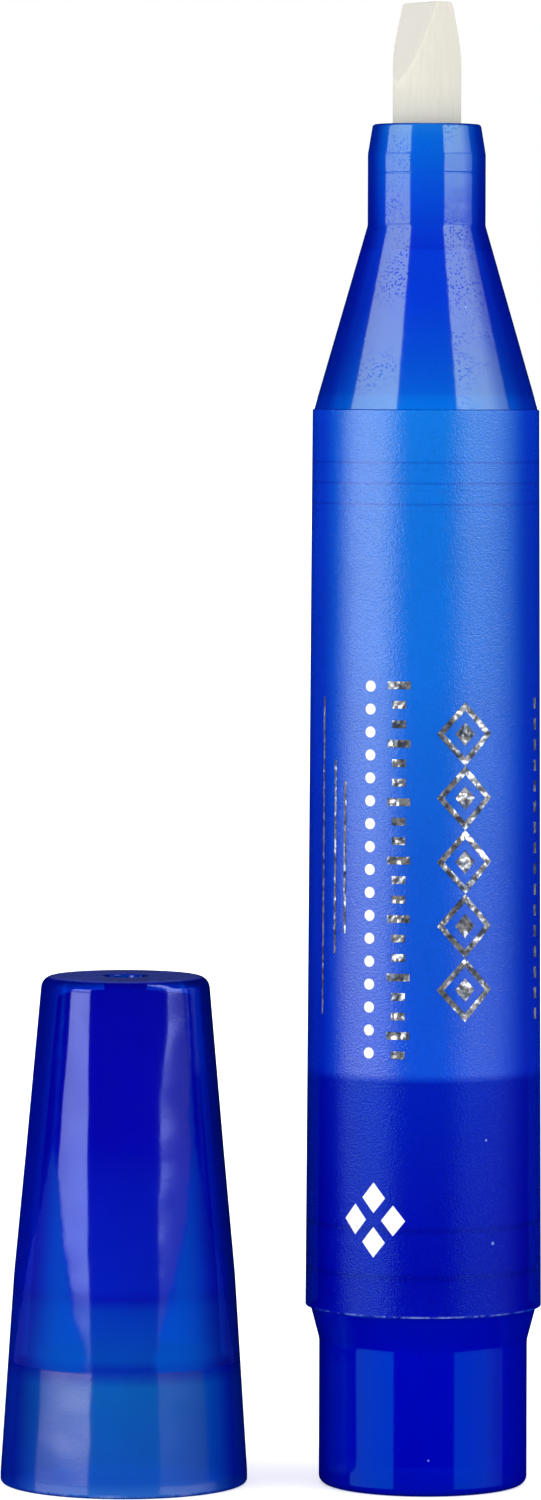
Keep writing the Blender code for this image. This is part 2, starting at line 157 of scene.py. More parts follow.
def rounded(outline, closed):
    """Points of an outline whose corners are (radius, height, edge radius), as straight runs and arcs."""
    points = []
    count = len(outline)
    for place, (radius, height, edge) in enumerate(outline):
        corner = Vector((radius, height))
        at_end = not closed and place in (0, count - 1)
        if edge == 0.0 or at_end:
            points.append(corner)
            continue
        before = (Vector(outline[place - 1][:2]) - corner).normalized()
        after = (Vector(outline[(place + 1) % count][:2]) - corner).normalized()
        half = before.angle(after) / 2
        centre = corner + (before + after).normalized() * (edge / math.sin(half))
        start = corner + before * (edge / math.tan(half)) - centre
        end = corner + after * (edge / math.tan(half)) - centre
        turn = start.angle_signed(end)
        steps = max(2, math.ceil(abs(math.degrees(turn)) / ROUND_STEP_DEG))
        points.append(centre + start + before * GUARD)
        for step in range(steps + 1):
            spoke = start.copy()
            spoke.rotate(Matrix.Rotation(-turn * step / steps, 2))
            points.append(centre + spoke)
        points.append(centre + end + after * GUARD)
    return points


def with_rings(points, spacing):
    """The same outline with points added, so that no run is longer than spacing."""
    finer = [points[0]]
    for point in points[1:]:
        start = finer[-1]
        steps = max(1, math.ceil((point - start).length / spacing))
        finer += [start.lerp(point, step / steps) for step in range(1, steps + 1)]
    return finer


def turned(name, outline, spacing=math.inf, closed=True, axis_x=0.0):
    """A piece turned on the lathe: its outline is drawn point by point and spun round its axis. No
    run between two of its rings is longer than the spacing."""
    points = with_rings(rounded(outline, closed), spacing)
    start = points[0]
    bpy.ops.object.select_all(action="DESELECT")
    bpy.ops.mesh.primitive_plane_add(size=MM, location=(axis_x + start.x, 0.0, start.y))
    piece = bpy.context.object
    piece.name = name
    bpy.ops.object.mode_set(mode="EDIT")
    # The plane shrinks to the point from which the outline is drawn.
    bpy.ops.mesh.merge(type="CENTER")
    route = points[1:] + ([start] if closed else [])
    here = start
    for point in route:
        step = (point.x - here.x, 0.0, point.y - here.y)
        bpy.ops.mesh.extrude_vertices_move(TRANSFORM_OT_translate={"value": step})
        here = point
    bpy.ops.mesh.select_all(action="SELECT")
    bpy.ops.mesh.remove_doubles(threshold=WELD)
    bpy.ops.mesh.spin(steps=SIDES, angle=math.tau, center=(axis_x, 0.0, 0.0), axis=(0.0, 0.0, 1.0))
    bpy.ops.mesh.select_all(action="SELECT")
    bpy.ops.mesh.remove_doubles(threshold=WELD)
    bpy.ops.mesh.normals_make_consistent(inside=False)
    bpy.ops.object.mode_set(mode="OBJECT")
    bpy.ops.object.transform_apply(location=True, rotation=True, scale=True)
    bpy.ops.object.shade_smooth_by_angle(angle=math.radians(SMOOTH_DEG))
    return piece


def finish_piece(piece, material, body, node=None):
    """Gives a piece its material and its body and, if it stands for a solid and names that."""
    piece.data.materials.clear()
    piece.data.materials.append(material)
    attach(piece, body)
    if node:
        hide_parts(node)


def select_only(pieces):
    """Selects these pieces and makes the first of them the active one."""
    bpy.ops.object.select_all(action="DESELECT")
    for piece in pieces:
        piece.select_set(True)
    bpy.context.view_layer.objects.active = pieces[0]


def apply_modifier(piece, kind, **settings):
    """Adds a modifier to a piece, which becomes the only one selected, and applies it."""
    select_only([piece])
    modifier = piece.modifiers.new(kind.lower(), kind)
    for name, value in settings.items():
        setattr(modifier, name, value)
    bpy.ops.object.modifier_apply(modifier=modifier.name)


def rib(middle_z):
    """A sealing rib on a shank, from its top down."""
    root_r = shank_r(middle_z)
    edge = 0.1 * MM
    return [
        (root_r, middle_z + RIB_WIDTH / 2, 0.0),
        (root_r + RIB_HEIGHT, middle_z + RIB_WIDTH / 4, edge),
        (root_r + RIB_HEIGHT, middle_z - RIB_WIDTH / 4, edge),
        (root_r, middle_z - RIB_WIDTH / 2, 0.0),
    ]


def make_barrel():
    """A plain tube, a little wider at its foot."""
    edge = 0.06 * MM
    top_r = barrel_r(BARREL_TOP_Z)
    foot_r = barrel_r(BARREL_FOOT_Z)
    outline = [
        (top_r, BARREL_TOP_Z, edge),
        (foot_r, BARREL_FOOT_Z, edge),
        (foot_r - BARREL_WALL, BARREL_FOOT_Z, edge),
        (top_r - BARREL_WALL, BARREL_TOP_Z, edge),
    ]
    return turned("barrel_satin_tube", outline, spacing=6.0 * MM)


def make_front_section():
    """Neck, cone and ribbed shank in one moulding. The neck's bore holds the nib, and the moulding
    is hollow below it."""
    rim_r = 3.945 * MM
    neck_r = 4.305 * MM
    neck_taper_z = 96.9 * MM
    line_depth = 0.012 * MM
    line_half = 0.04 * MM
    cone_foot_r = 8.16 * MM
    bore_r = 2.58 * MM
    holder_r = 3.61 * MM
    hollow_r = 6.185 * MM
    hollow_taper_z = 80.9 * MM
    outline = [
        (rim_r, NECK_TOP_Z, 0.25 * MM),
        (neck_r, neck_taper_z, 1.2 * MM),
        (neck_r, NECK_LINE_Z + 3 * line_half, 0.0),
        (neck_r, NECK_LINE_Z + line_half, 0.0),
        (neck_r - line_depth, NECK_LINE_Z, 0.0),
        (neck_r, NECK_LINE_Z - line_half, 0.0),
        (neck_r, NECK_LINE_Z - 3 * line_half, 0.0),
        (neck_r, CONE_TOP_Z, 0.7 * MM),
        (cone_foot_r, CONE_FOOT_Z, 0.03 * MM),
        (shank_r(CONE_FOOT_Z), CONE_FOOT_Z, 0.0),
    ]
    for middle_z in SHANK_RIBS_Z:
        outline += rib(middle_z)
    outline += [
        (shank_r(SHANK_FOOT_Z), SHANK_FOOT_Z, 0.3 * MM),
        (hollow_r, SHANK_FOOT_Z, 0.1 * MM),
        (hollow_r, hollow_taper_z, 0.5 * MM),
        (holder_r, HOLDER_Z, 0.3 * MM),
        (bore_r, HOLDER_Z, 0.1 * MM),
        (bore_r, NECK_TOP_Z, 0.2 * MM),
    ]
    return turned("front_section_moulding", outline, spacing=2.0 * MM)


def make_end_plug():
    """Foot, flange and ribbed shank in one moulding, with a deep cup that is open at its top."""
    foot_r = 7.585 * MM
    root_z = 10.5 * MM
    cup_r = 5.585 * MM
    cup_floor_z = 1.8 * MM
    flange_inset = 0.35 * MM
    outline = [
        (0.0, cup_floor_z, 0.0),
        (cup_r, cup_floor_z, 0.5 * MM),
        (cup_r, PLUG_RIM_Z, 0.1 * MM),
        (shank_r(PLUG_RIM_Z), PLUG_RIM_Z, 0.3 * MM),
    ]
    for middle_z in PLUG_RIBS_Z:
        outline += rib(middle_z)
    outline += [
        (shank_r(FLANGE_Z), FLANGE_Z, 0.0),
        (barrel_r(FLANGE_Z) - flange_inset, FLANGE_Z, 0.08 * MM),
        (foot_r, root_z, 1.6 * MM),
        (foot_r, 0.0, 0.6 * MM),
        (0.0, 0.0, 0.0),
    ]
    return turned("end_plug_moulding", outline, spacing=2.0 * MM, closed=False)


def make_felt_nib():
    """A felt rod whose tip is cut to a chisel by two slanted cuts. Felt has no crisp edge, so the
    cut rod is remeshed and smoothed."""
    tip_edge = 0.3 * MM
    tail_edge = 0.4 * MM
    outline = [
        (0.0, NIB_TOP_Z, 0.0),
        (NIB_R, NIB_TOP_Z, tip_edge),
        (NIB_R, NIB_TAIL_Z, tail_edge),
        (0.0, NIB_TAIL_Z, 0.0),
    ]
    nib = turned("felt_nib_rod", outline, closed=False)
    bpy.ops.object.mode_set(mode="EDIT")
    for side in (1, -1):
        ridge = (CHISEL_OUTWARD.x * CHISEL_HALF * side, CHISEL_OUTWARD.y * CHISEL_HALF * side, NIB_TOP_Z)
        normal = (CHISEL_NORMAL.x * side, CHISEL_NORMAL.y * side, CHISEL_NORMAL.z)
        bpy.ops.mesh.select_all(action="SELECT")
        bpy.ops.mesh.bisect(plane_co=ridge, plane_no=normal, use_fill=True, clear_outer=True)
    bpy.ops.mesh.select_all(action="SELECT")
    bpy.ops.mesh.normals_make_consistent(inside=False)
    bpy.ops.object.mode_set(mode="OBJECT")
    apply_modifier(nib, "REMESH", mode="VOXEL", voxel_size=0.125 * MM, use_smooth_shade=True)
    apply_modifier(nib, "SMOOTH", factor=0.5, iterations=2)
    return nib


def make_fibre_reservoir():
    """A rod of fibres with a hole in its top, which takes the nib's tail."""
    low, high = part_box("fibre_reservoir")
    hole_r = 2.7 * MM
    hole_floor_z = NIB_TAIL_Z - SEAT_GAP
    hole_edge = 0.2 * MM
    end_edge = 0.4 * MM
    outline = [
        (0.0, hole_floor_z, 0.0),
        (hole_r, hole_floor_z, hole_edge),
        (hole_r, high.z, hole_edge),
        (high.x, high.z, end_edge),
        (high.x, low.z, end_edge),
        (0.0, low.z, 0.0),
    ]
    return turned("fibre_reservoir_rod", outline, spacing=6.0 * MM, closed=False)


def make_reservoir_film():
    """A sleeve round the reservoir, open at both ends."""
    low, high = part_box("reservoir_film")
    wall = 0.2 * MM
    edge = 0.05 * MM
    outline = [
        (high.x, high.z, edge),
        (high.x, low.z, edge),
        (high.x - wall, low.z, edge),
        (high.x - wall, high.z, edge),
    ]
    return turned("reservoir_film_sleeve", outline, spacing=6.0 * MM)


def make_cap_shell():
    """The tapered cap with its vent hole. Its side bends a little at two heights, and its wall is
    thinner below the step."""
    wall = 1.3 * MM
    top_r = 6.093 * MM
    waist_r = 7.235 * MM
    bend_r = 8.065 * MM
    bend_z = 15.246 * MM
    skirt_z = 0.8 * MM
    mouth_bore_r = 8.26 * MM
    step_bore_r = 7.735 * MM
    throat_r = 7.1 * MM
    ceiling_r = 4.917 * MM
    ceiling_z = 35.5 * MM
    outline = [
        (CAP_VENT_R, CAP_TOP_Z, 0.15 * MM),
        (top_r, CAP_TOP_Z, 0.9 * MM),
        (waist_r, CAP_WAIST_Z, 12.0 * MM),
        (bend_r, bend_z, 40.0 * MM),
        (CAP_MOUTH_R, skirt_z, 4.0 * MM),
        (CAP_MOUTH_R, 0.0, 0.3 * MM),
        (mouth_bore_r, 0.0, 0.12 * MM),
        (step_bore_r, CAP_STEP_Z, 0.0),
        (throat_r, CAP_STEP_Z + CAP_STEP_RISE, 0.2 * MM),
        (bend_r - wall, bend_z, 0.0),
        (waist_r - wall, CAP_WAIST_Z, 0.0),
        (ceiling_r, ceiling_z, 0.4 * MM),
        (CAP_VENT_R, ceiling_z, 0.1 * MM),
    ]
    return turned("cap_shell_moulding", outline, spacing=0.8 * MM, axis_x=CAP_X)


def make_inner_cap():
    """The sleeve that seals on the neck. Four grooves down its collar lead air to the vent hole."""
    collar_top_r = 5.012 * MM
    collar_r = 5.735 * MM
    sleeve_r = 5.305 * MM
    seal_r = 4.405 * MM
    chamber_r = 3.1 * MM
    chamber_wall = 1.0 * MM
    seal_end_z = 21.2 * MM
    chamber_end_z = 31.0 * MM
    collar_top_z = 32.2 * MM
    edge = 0.15 * MM
    outline = [
        (0.0, collar_top_z, 0.0),
        (collar_top_r, collar_top_z, 0.3 * MM),
        (collar_r, CAP_WAIST_Z, edge),
        (sleeve_r, CAP_WAIST_Z, edge),
        (sleeve_r, SLEEVE_MOUTH_Z, edge),
        (seal_r, SLEEVE_MOUTH_Z, 0.3 * MM),
        (seal_r, seal_end_z, edge),
        (chamber_r, seal_end_z, edge),
        (chamber_r, chamber_end_z, 0.5 * MM),
        (0.0, chamber_end_z, 0.0),
    ]
    inner_cap = turned("inner_cap_sleeve", outline, spacing=2.0 * MM, closed=False, axis_x=CAP_X)
    groove_width = 1.6 * MM
    groove_floor_r = chamber_r + chamber_wall
    spare = 0.5 * MM            # the cutter reaches this far past the collar, above and below
    cutter_depth = collar_r - groove_floor_r + 2 * edge
    cutter_height = collar_top_z - CAP_WAIST_Z + 2 * spare
    middle_r = (groove_floor_r + collar_r) / 2 + edge
    middle_z = (CAP_WAIST_Z + collar_top_z) / 2
    for groove_deg in (45.0, 135.0, 225.0, 315.0):
        turn = math.radians(groove_deg)
        place = (CAP_X + middle_r * math.cos(turn), middle_r * math.sin(turn), middle_z)
        bpy.ops.mesh.primitive_cube_add(size=1.0, location=place, rotation=(0.0, 0.0, turn))
        cutter = bpy.context.object
        bpy.ops.transform.resize(value=(cutter_depth, groove_width, cutter_height), orient_type="LOCAL")
        apply_modifier(inner_cap, "BOOLEAN", object=cutter, operation="DIFFERENCE")
        bpy.data.objects.remove(cutter)
    bpy.ops.object.shade_smooth_by_angle(angle=math.radians(SMOOTH_DEG))
    return inner_cap


def mark(sides, width, height, line=0.0):
    """One flat mark of the print: a lozenge (4 sides), a disc (more), or a dash (0). A line makes it
    an outline that wide."""
    face_width = 0.8 * MM       # no face is wider, so that the mark can follow the barrel
    bpy.ops.object.select_all(action="DESELECT")
    if sides:
        fill = "NGON" if line else "TRIFAN"
        bpy.ops.mesh.primitive_circle_add(vertices=sides, radius=0.5, fill_type=fill)
    else:
        bpy.ops.mesh.primitive_plane_add(size=1.0)
    piece = bpy.context.object
    piece.scale = (width, height, 1.0)
    bpy.ops.object.transform_apply(location=False, rotation=False, scale=True)
    bpy.ops.object.mode_set(mode="EDIT")
    bpy.ops.mesh.select_all(action="SELECT")
    if line:
        bpy.ops.mesh.inset(thickness=line)
        bpy.ops.mesh.delete(type="ONLY_FACE")
        bpy.ops.mesh.select_all(action="SELECT")
    bpy.ops.mesh.subdivide(number_cuts=math.ceil(width / face_width))
    bpy.ops.object.mode_set(mode="OBJECT")
    return piece


def seated(shape, places):
    """A mark and copies of it, one against the barrel at each place, which is an azimuth in degrees
    and a height in mm."""
    marks = []
    for azimuth_deg, height_mm in places:
        select_only([shape])
        if marks:
            bpy.ops.object.duplicate()
        piece = bpy.context.object
        azimuth = math.radians(azimuth_deg)
        middle_z = height_mm * MM
        radius = barrel_r(middle_z)
        piece.location = (radius * math.sin(azimuth), -radius * math.cos(azimuth), middle_z)
        piece.rotation_euler = (math.radians(90.0), 0.0, azimuth)
        marks.append(piece)
    return marks


def row_down(azimuth_deg, top_mm, pitch_mm, count):
    """Places for marks, one below the other."""
    return [(azimuth_deg, top_mm - pitch_mm * step) for step in range(count)]


def print_sheet(name, marks, barrel):
    """Joins marks to one sheet, and lays it on the barrel as a film that just clears it."""
    film = 0.02 * MM
    room = 0.005 * MM
    sheet = marks[0]
    select_only(marks)
    bpy.ops.object.join()
    bpy.ops.object.transform_apply(location=True, rotation=True, scale=True)
    sheet.name = name
    apply_modifier(sheet, "SHRINKWRAP", target=barrel, wrap_mode="ABOVE_SURFACE", offset=film + room)
    apply_modifier(sheet, "SOLIDIFY", thickness=film, offset=-1.0)
    return sheet


def make_foil_print(barrel):
    """Silver foil: a chain of outlined lozenges, two columns of dashes and fine upright rules."""
    links = row_down(azimuth_deg=19.0, top_mm=55.0, pitch_mm=4.6, count=5)
    dashes = row_down(azimuth_deg=-14.0, top_mm=58.5, pitch_mm=1.4, count=20)
    side_dashes = row_down(azimuth_deg=70.0, top_mm=57.0, pitch_mm=1.5, count=16)
    rules = ((-44.0, 11.0), (-51.0, 14.0), (-61.0, 23.0))
    rules_middle_mm = 46.0
    marks = seated(mark(4, 4.3 * MM, 4.6 * MM, line=0.42 * MM), links)
    marks += seated(mark(4, 1.5 * MM, 1.7 * MM), links)
    # Every third dash of the first column is a long one.
    marks += seated(mark(0, 1.7 * MM, 0.55 * MM), dashes[::3])
    marks += seated(mark(0, 1.0 * MM, 0.55 * MM), dashes[1::3] + dashes[2::3])
    marks += seated(mark(0, 0.5 * MM, 0.8 * MM), side_dashes)
    for azimuth_deg, length_mm in rules:
        marks += seated(mark(0, 0.2 * MM, length_mm * MM), [(azimuth_deg, rules_middle_mm)])
    return print_sheet("foil_print", marks, barrel)


def make_ink_print(barrel):
    """White ink: a row of dots, and four lozenges below."""
    dots = row_down(azimuth_deg=-29.0, top_mm=58.4, pitch_mm=1.65, count=17)
    lozenges = ((-26.0, 21.6), (-26.0, 18.4), (-36.0, 20.0), (-16.0, 20.0))
    marks = seated(mark(16, 0.8 * MM, 0.8 * MM), dots)
    marks += seated(mark(4, 1.8 * MM, 2.2 * MM), lozenges)
    return print_sheet("ink_print", marks, barrel)


def start_material(name):
    """A new material, with the place on the piece and the height of that place."""
    material = new_material(name)
    place = add_node(material, "TexCoord").outputs["Object"]
    height = add_node(material, "SeparateXYZ", {"Vector": place}).outputs["Z"]
    return material, place, height


def colour_by_height(material, height, stops):
    """The plastic's colour up the piece, from stops that are pairs of a height in mm and a colour."""
    lowest = stops[0][0]
    highest = stops[-1][0]
    share = add_node(material, "MapRange", {
        "Value": height, "From Min": lowest * MM, "From Max": highest * MM,
    })
    return add_node(material, "ValToRGB", {"Fac": share}, stops=[
        ((level - lowest) / (highest - lowest), linear(colour)) for level, colour in stops
    ])


def ring_lines(material, height, levels, width):
    """A mask of fine rings at the given heights."""
    mask = None
    for level in levels:
        away = add_node(material, "Math", {0: height, 1: level}, operation="SUBTRACT")
        near = add_node(material, "Math", {0: away}, operation="ABSOLUTE")
        ring = add_node(material, "MapRange", {
            "Value": near, "From Max": width / 2, "To Min": 1.0, "To Max": 0.0,
        }, interpolation_type="SMOOTHSTEP")
        mask = add_node(material, "Math", {0: mask, 1: ring}) if mask else ring
    return mask


def specks(material, place, spacing_mm, size_mm, kept_share):
    """A mask of small specks, such as dust: one in each cell of the spacing, of which a share is kept."""
    cells = add_node(material, "TexVoronoi", {"Vector": place, "Scale": per_mm(spacing_mm)})
    near = add_node(material, "Math", {0: cells, 1: size_mm / spacing_mm / 2}, operation="LESS_THAN")
    draw = add_node(material, "SeparateColor", {"Color": cells.outputs["Color"]})
    kept = add_node(material, "Math", {0: draw.outputs["Red"], 1: kept_share}, operation="LESS_THAN")
    return add_node(material, "Math", {0: near, 1: kept}, operation="MULTIPLY")


def tinted(material, colour, mask, tint, amount):
    """The colour with another one laid over it, where the mask is, by an amount."""
    share = add_node(material, "Math", {0: mask, 1: amount}, operation="MULTIPLY")
    return add_node(material, "Mix", {0: share, 6: colour, 7: linear(tint)}, data_type="RGBA")


def cloudy(material, place, colour, size_mm, amount):
    """The colour with slow, cloudy changes, as where pigment has flowed unevenly in the mould."""
    flow = add_node(material, "TexNoise", {"Vector": place, "Scale": per_mm(size_mm), "Detail": 3.0})
    level = add_node(material, "MapRange", {
        "Value": flow, "From Min": 0.3, "From Max": 0.7,
        "To Min": 1.0 - amount, "To Max": 1.0 + amount,
    })
    return add_node(material, "Mix", {0: 1.0, 6: colour, 7: level}, data_type="RGBA", blend_type="MULTIPLY")


def grain(material, place, size_mm, depth_mm, under=None):
    """A bump of fine grain over another bump."""
    noise = add_node(material, "TexNoise", {"Vector": place, "Scale": per_mm(size_mm), "Detail": 2.0})
    inputs = {"Height": noise, "Distance": depth_mm * MM}
    if under:
        inputs["Normal"] = under
    return add_node(material, "Bump", inputs)


def translucent_wall(
        material, colour, normal, roughness, ior, deep, tint, opacity,
        gloss=linear("ffffff"), shine=0.5):
    """Pigmented polypropylene: part of the light is scattered blue by the wall, and the rest shows,
    tinted, what lies behind it. Seen at a slant the wall is thicker, so it is denser and takes the
    deep colour from its own. The plastic's real IOR is 1.49. The outer pieces have a higher one, at
    which the mirrored lamps are as bright as photographed."""
    facing = add_node(material, "LayerWeight", {"Blend": 0.5})
    slant = add_node(material, "MapRange", {
        "Value": facing.outputs["Facing"], "From Min": 0.05, "From Max": 0.6,
    }, interpolation_type="SMOOTHSTEP")
    base = add_node(material, "Mix", {0: slant, 6: colour, 7: deep}, data_type="RGBA", blend_type="MULTIPLY")
    wall = add_node(material, "BsdfPrincipled", {
        "Base Color": base, "Roughness": roughness, "IOR": ior, "Normal": normal,
        "Specular Tint": gloss, "Specular IOR Level": shine,
    })
    clear = add_node(material, "BsdfTransparent", {"Color": linear(tint)})
    density = add_node(material, "MapRange", {"Value": slant, "To Min": opacity, "To Max": 0.98})
    # Where a ray leaves the plastic the face only tints it, so that no wall counts twice.
    geometry = add_node(material, "NewGeometry")
    entered = add_node(material, "Math", {0: 1.0, 1: geometry.outputs["Backfacing"]}, operation="SUBTRACT")
    # Light that scatters in the wall goes on, so the wall holds back only half of a lamp's.
    light_path = add_node(material, "LightPath")
    lamp_share = add_node(material, "Math", {
        0: light_path.outputs["Is Shadow Ray"], 1: -0.5, 2: 1.0,
    }, operation="MULTIPLY_ADD")
    shown = add_node(material, "Math", {0: density, 1: entered}, operation="MULTIPLY")
    held_back = add_node(material, "Math", {0: shown, 1: lamp_share}, operation="MULTIPLY")
    mixed = add_node(material, "MixShader", {0: held_back, 1: clear, 2: wall})
    add_node(material, "OutputMaterial", {"Surface": mixed})
    return material


def worn_rim(material, colour, place, height, rim_z, width):
    """The colour with pale, broken scuffs along a moulded rim, where the edge has rubbed."""
    rim = ring_lines(material, height, [rim_z], width)
    rub = add_node(material, "TexNoise", {
        "Vector": place, "Scale": per_mm(1.6), "Detail": 6.0, "Roughness": 0.8,
    })
    rubbed = add_node(material, "MapRange", {"Value": rub, "From Min": 0.46, "From Max": 0.6})
    worn = add_node(material, "Math", {0: rim, 1: rubbed}, operation="MULTIPLY")
    return tinted(material, colour, worn, "9cb4f0", amount=0.9)


def satin_polypropylene_barrel():
    """Polypropylene moulded against a spark-eroded tool: a silky sheen with a fine even grain. The
    white reservoir behind it makes it bright, the plug's shank below makes it dark, and the
    sealing ribs show as fine rings."""
    material, place, height = start_material("satin_polypropylene_barrel")
    rim = (PLUG_RIM_Z + SEEN_ABOVE) / MM
    colour = colour_by_height(material, height, [
        (BARREL_FOOT_Z / MM, "0008b2"), (15.5, "0004ae"), (20.0, "000ab2"), (rim - 0.3, "001cb6"),
        (rim + 0.3, "004cd6"), (45.0, "0056d2"), (61.0, "006cda"), (70.0, "0070dc"),
        (BARREL_TOP_Z / MM, "0078e4"),
    ])
    colour = cloudy(material, place, colour, size_mm=9.0, amount=0.06)
    colour = cloudy(material, place, colour, size_mm=0.22, amount=0.07)
    shank_lines = ring_lines(material, height, SHANK_RIBS_Z, 0.3 * MM)
    shank_edges = ring_lines(material, height, [level - 0.5 * MM for level in SHANK_RIBS_Z], 0.25 * MM)
    plug_lines = ring_lines(material, height, [level + SEEN_ABOVE for level in PLUG_RIBS_Z], 0.8 * MM)
    colour = tinted(material, colour, shank_lines, "0030b0", amount=0.42)
    colour = tinted(material, colour, shank_edges, "0030b0", amount=0.12)
    colour = tinted(material, colour, plug_lines, "00008c", amount=0.5)
    dust = specks(material, place, spacing_mm=3.5, size_mm=0.28, kept_share=0.4)
    colour = tinted(material, colour, dust, "9ab8f4", amount=0.7)
    colour = worn_rim(material, colour, place, height, BARREL_FOOT_Z, 0.4 * MM)
    above_plug = add_node(material, "MapRange", {
        "Value": height, "From Min": (rim - 0.3) * MM, "From Max": (rim + 0.3) * MM,
    })
    opacity = add_node(material, "MapRange", {"Value": above_plug, "To Min": 0.8, "To Max": 0.88})
    gloss = add_node(material, "Mix", {
        0: above_plug, 6: linear("68a4ff"), 7: linear("f6fbea"),
    }, data_type="RGBA")
    # The tool's grain is a few hundredths of a millimetre, too fine to show, so it is drawn coarser.
    normal = grain(material, place, size_mm=0.13, depth_mm=0.03)
    return translucent_wall(
        material, colour, normal, roughness=0.13, ior=2.0, deep=linear("006cd0"), tint="30a0ff",
        opacity=opacity, gloss=gloss)


def oil_mist(material, place):
    """A mask of fine droplets, which lie in patches on the polished plastic and break its gloss. The
    finest real ones are too small to show, so each is drawn 0.16 mm wide."""
    drops = specks(material, place, spacing_mm=0.2, size_mm=0.16, kept_share=0.6)
    patches = add_node(material, "TexNoise", {"Vector": place, "Scale": per_mm(4.0), "Detail": 2.0})
    strewn = add_node(material, "MapRange", {"Value": patches, "From Min": 0.36, "From Max": 0.6})
    return add_node(material, "Math", {0: drops, 1: strewn}, operation="MULTIPLY")


def polished_polypropylene_front():
    """The same plastic from a polished tool, so that lamps mirror in it with clean edges. It is
    lightest over the shank's ledge and at the neck's rim, and darkest below the nib's holder."""
    material, place, height = start_material("polished_polypropylene_front")
    holder = HOLDER_Z / MM
    colour = colour_by_height(material, height, [
        (CONE_FOOT_Z / MM, "006ede"), (79.3, "0066da"), (79.5, "005ad2"), (82.5, "0048ce"),
        (86.0, "0036ce"), (holder, "0036d0"), (holder + 0.15, "002ac4"), (93.5, "0044d0"),
        (98.0, "0062d4"), (NECK_TOP_Z / MM, "1470d0"),
    ])
    colour = cloudy(material, place, colour, size_mm=6.0, amount=0.05)
    dust = specks(material, place, spacing_mm=2.5, size_mm=0.16, kept_share=0.3)
    colour = tinted(material, colour, dust, "8aa8f0", amount=0.6)
    mist = oil_mist(material, place)
    shine = add_node(material, "MapRange", {"Value": mist, "To Min": 0.5, "To Max": 0.1})
    normal = grain(material, place, size_mm=2.5, depth_mm=0.01)
    return translucent_wall(
        material, colour, normal, roughness=0.09, ior=1.98, deep=linear("005aae"), tint="30a0ff",
        opacity=0.86, gloss=linear("e2ffc0"), shine=shine)


def polished_polypropylene_plug():
    """Thick, deep blue polished plastic: nearly opaque, with mirrored lamps."""
    material, place, height = start_material("polished_polypropylene_plug")
    colour = colour_by_height(material, height, [
        (0.0, "0000a6"), (2.0, "0001b0"), (10.0, "0002b2"), (12.5, "0006ac"), (PLUG_RIM_Z / MM, "0018d0"),
    ])
    colour = cloudy(material, place, colour, size_mm=5.0, amount=0.05)
    dust = specks(material, place, spacing_mm=3.0, size_mm=0.18, kept_share=0.25)
    colour = tinted(material, colour, dust, "7a90e8", amount=0.6)
    normal = grain(material, place, size_mm=0.25, depth_mm=0.0012)
    return translucent_wall(
        material, colour, normal, roughness=0.08, ior=2.1, deep=linear("005adc"), tint="2080ff",
        opacity=0.98, gloss=linear("10a8ff"))


def round_the_cap(material, place):
    """The azimuth round the cap's own axis, and the distance from it."""
    across = add_node(material, "VectorMath", {
        0: place, 1: (1.0, -1.0, 0.0), 2: (-CAP_X, 0.0, 0.0),
    }, operation="MULTIPLY_ADD")
    off_axis = add_node(material, "VectorMath", {0: across}, operation="LENGTH")
    sides = add_node(material, "SeparateXYZ", {"Vector": across})
    azimuth = add_node(material, "Math", {0: sides.outputs["X"], 1: sides.outputs["Y"]}, operation="ARCTAN2")
    return azimuth, off_axis


